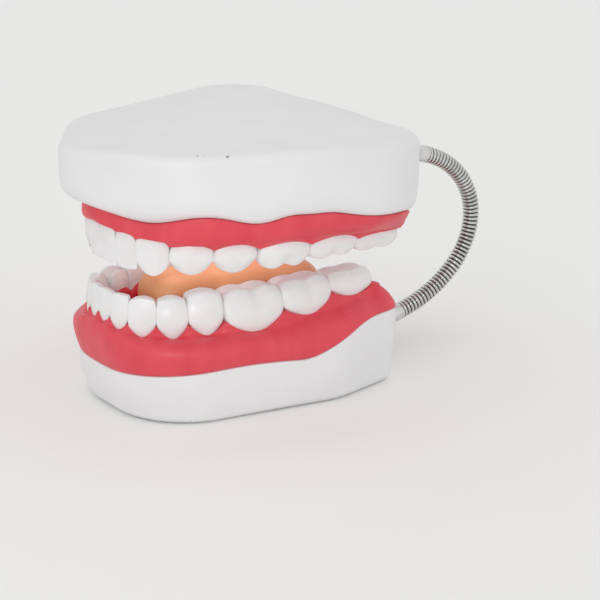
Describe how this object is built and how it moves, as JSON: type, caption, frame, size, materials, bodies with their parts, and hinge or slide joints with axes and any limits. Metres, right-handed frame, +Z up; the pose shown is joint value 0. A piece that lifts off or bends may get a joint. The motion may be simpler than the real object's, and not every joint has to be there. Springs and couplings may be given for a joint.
{
  "type": "typodont model",
  "caption": "Enlarged dental teaching model: white upper and lower jaw bases with pink gums, separate teeth and a tongue, joined at the rear by a ribbed gooseneck.",
  "frame": {"origin": "table plane under the middle of the lower jaw's base", "axes": "+X to the model's left side, -Y to the front teeth, +Z up"},
  "size_m": [0.1618, 0.2461, 0.13],
  "materials": {
    "tooth_enamel": "satin, slightly warm white",
    "base_white": "painted cast resin, eggshell",
    "gum_pink": "painted, soft satin",
    "tongue_tan": "painted, soft satin",
    "hose_chrome": "bright plated, ribbed",
    "zinc_steel": "zinc plated"
  },
  "bodies": {
    "lower_jaw": {"lower_base": "base_white", "lower_gum": "gum_pink", "tongue": "tongue_tan", "lower_fitting": "hose_chrome", "lower_washer": "zinc_steel", "lower_nut": "zinc_steel", "gooseneck": "hose_chrome", "lower_left_central_incisor": "tooth_enamel", "lower_left_lateral_incisor": "tooth_enamel", "lower_left_canine": "tooth_enamel", "lower_left_first_premolar": "tooth_enamel", "lower_left_second_premolar": "tooth_enamel", "lower_left_first_molar": "tooth_enamel", "lower_left_second_molar": "tooth_enamel", "lower_left_third_molar": "tooth_enamel", "lower_right_central_incisor": "tooth_enamel", "lower_right_lateral_incisor": "tooth_enamel", "lower_right_canine": "tooth_enamel", "lower_right_first_premolar": "tooth_enamel", "lower_right_second_premolar": "tooth_enamel", "lower_right_first_molar": "tooth_enamel", "lower_right_second_molar": "tooth_enamel", "lower_right_third_molar": "tooth_enamel"},
    "upper_jaw": {"upper_base": "base_white", "upper_gum": "gum_pink", "upper_fitting": "hose_chrome", "upper_washer": "zinc_steel", "upper_nut": "zinc_steel", "upper_left_central_incisor": "tooth_enamel", "upper_left_lateral_incisor": "tooth_enamel", "upper_left_canine": "tooth_enamel", "upper_left_first_premolar": "tooth_enamel", "upper_left_second_premolar": "tooth_enamel", "upper_left_first_molar": "tooth_enamel", "upper_left_second_molar": "tooth_enamel", "upper_left_third_molar": "tooth_enamel", "upper_right_central_incisor": "tooth_enamel", "upper_right_lateral_incisor": "tooth_enamel", "upper_right_canine": "tooth_enamel", "upper_right_first_premolar": "tooth_enamel", "upper_right_second_premolar": "tooth_enamel", "upper_right_first_molar": "tooth_enamel", "upper_right_second_molar": "tooth_enamel", "upper_right_third_molar": "tooth_enamel"}
  },
  "joints": [
    {"name": "jaw_opening", "type": "hinge", "parent": "lower_jaw", "child": "upper_jaw", "pos_m": [0, 0.1131, 0.0592], "axis": [-1, 0, 0], "range_deg": [-3, 30], "deforming": ["gooseneck"]}
  ]
}
